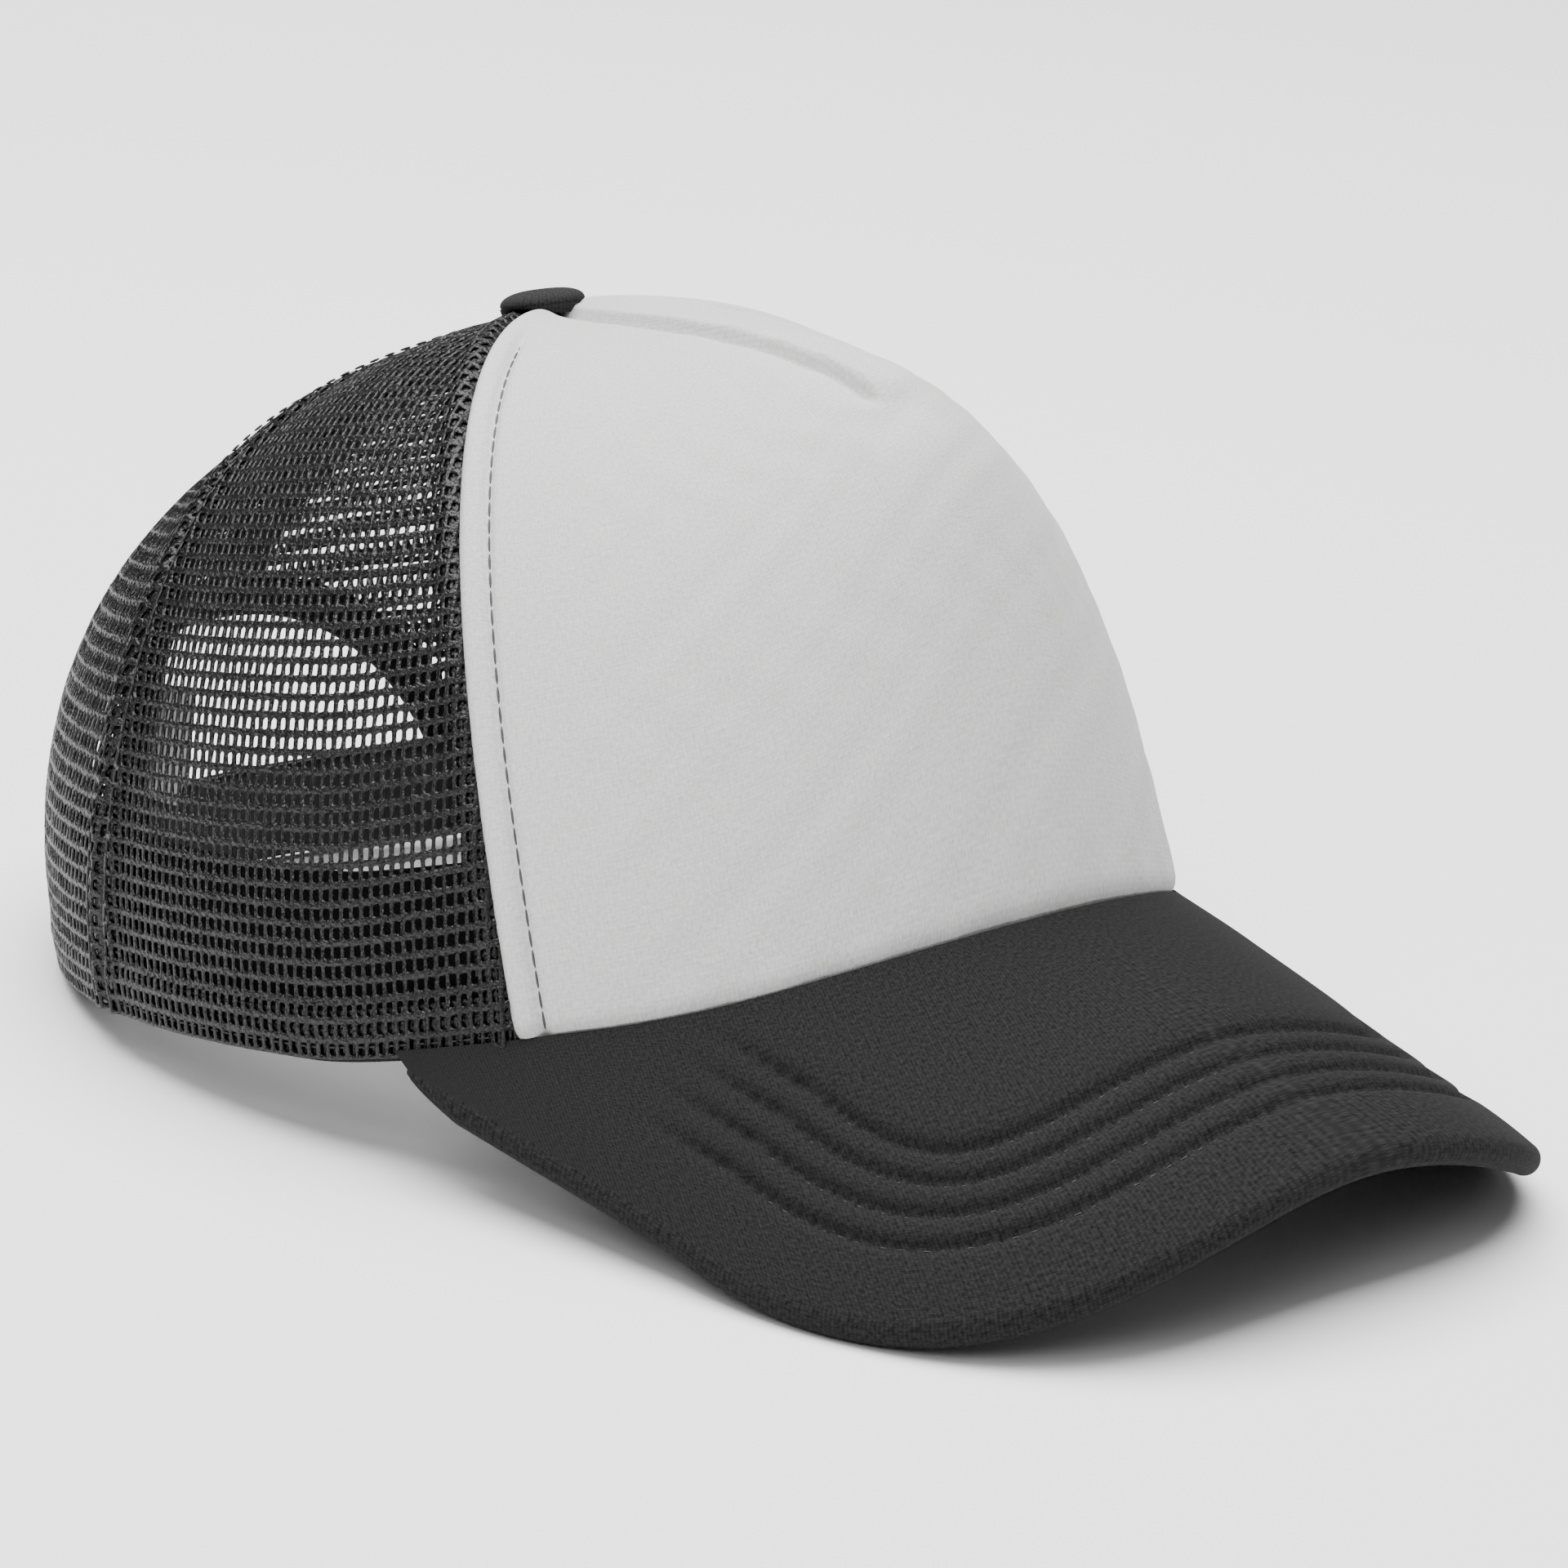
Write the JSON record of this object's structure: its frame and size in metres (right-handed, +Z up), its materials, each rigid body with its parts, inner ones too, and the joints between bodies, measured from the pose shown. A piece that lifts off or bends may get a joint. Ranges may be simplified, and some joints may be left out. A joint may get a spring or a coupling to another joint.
{
  "type": "trucker mesh cap",
  "caption": "Baseball-style cap with a domed foam front panel, open mesh sides and back, a bent fabric brim, a fabric-covered top button and a plastic snap strap below a rear arch.",
  "frame": {"origin": "bottom centre of the cap's box, on the surface it rests on with its brim and the back of its hem", "axes": "+Z up, -Y towards the brim, +X to the wearer's left"},
  "size_m": [0.1738, 0.2732, 0.1236],
  "materials": {
    "white_foam": "matt white knit bonded to foam",
    "black_mesh": "open black polyester mesh, slight sheen",
    "black_fabric": "matt black twill",
    "black_tape": "matt black woven tape",
    "button_fabric": "black fabric stretched over a domed cap",
    "strap_plastic": "moulded black plastic, satin",
    "board_plastic": "plain moulded sheet",
    "steel": "plain stamped steel",
    "label_satin": "white satin ribbon, blank"
  },
  "bodies": {
    "cap": {"front_panel": "white_foam", "mesh_side_right": "black_mesh", "mesh_side_left": "black_mesh", "mesh_back_right": "black_mesh", "mesh_back_left": "black_mesh", "arch_binding": "black_tape", "seam_tape_front_right": "black_tape", "seam_tape_front_left": "black_tape", "seam_tape_side_right": "black_tape", "seam_tape_side_left": "black_tape", "seam_tape_back": "black_tape", "front_dart_tape": "black_tape", "sweatband": "black_fabric", "brim_top_cover": "black_fabric", "brim_board": "board_plastic", "brim_under_cover": "black_fabric", "hole_strap_anchor": "strap_plastic", "stud_strap_anchor": "strap_plastic", "button_cap": "button_fabric", "button_washer": "steel", "button_rivet": "steel", "care_label": "label_satin"},
    "hole_strap": {"hole_strap": "strap_plastic"},
    "stud_strap": {"stud_strap": "strap_plastic"}
  },
  "joints": [
    {"name": "hole_strap_swing", "type": "hinge", "parent": "cap", "child": "hole_strap", "pos_m": [-0.03662, 0.1204, 0.0101], "axis": [0, 0, 1], "range_deg": [0, 70], "stiffness_Nm_per_rad": 0.015},
    {"name": "stud_strap_swing", "type": "hinge", "parent": "cap", "child": "stud_strap", "pos_m": [0.03588, 0.11877, 0.01033], "axis": [0, 0, 1], "range_deg": [0, 20], "stiffness_Nm_per_rad": 0.015}
  ]
}
